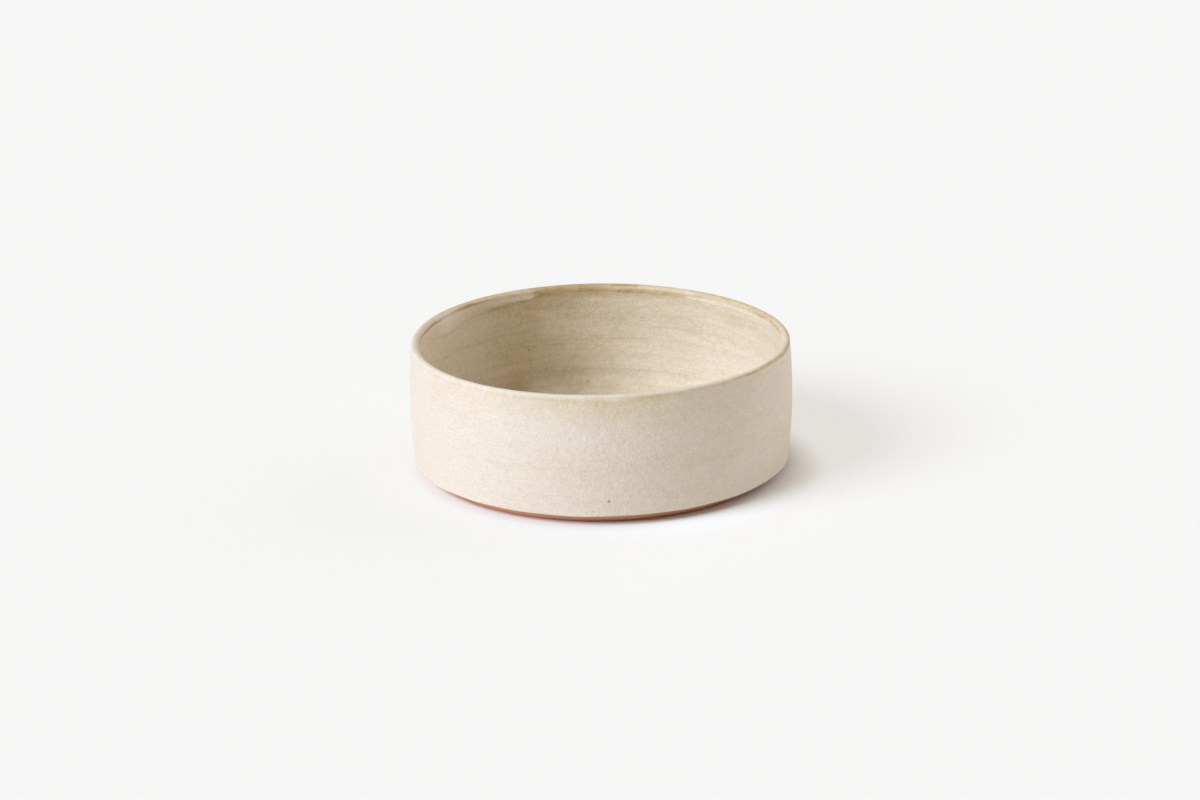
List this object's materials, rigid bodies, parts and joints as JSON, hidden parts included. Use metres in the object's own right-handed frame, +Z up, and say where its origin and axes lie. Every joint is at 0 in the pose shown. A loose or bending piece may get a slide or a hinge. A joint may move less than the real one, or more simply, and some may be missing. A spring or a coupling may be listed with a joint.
{
  "type": "ceramic bowl",
  "caption": "Straight-sided round bowl of red clay, glazed cream inside and out, with a rounded lip and a bare bevelled foot; holds food or small things.",
  "frame": {"origin": "centre of the flat ring that the bowl stands on", "axes": "+Z up along the axis of revolution; -Y is the side that faced the camera"},
  "size_m": [0.16, 0.16, 0.055],
  "materials": {
    "clay": "unglazed red-brown clay, matte, with fine turning lines",
    "liner_glaze": "cream satin-matte glaze with faint horizontal streaks",
    "outer_glaze": "cream satin-matte glaze, tan where it breaks thin at the lip"
  },
  "bodies": {
    "root": {"clay_body": "clay", "inner_glaze": "liner_glaze", "outer_glaze": "outer_glaze"}
  },
  "joints": []
}
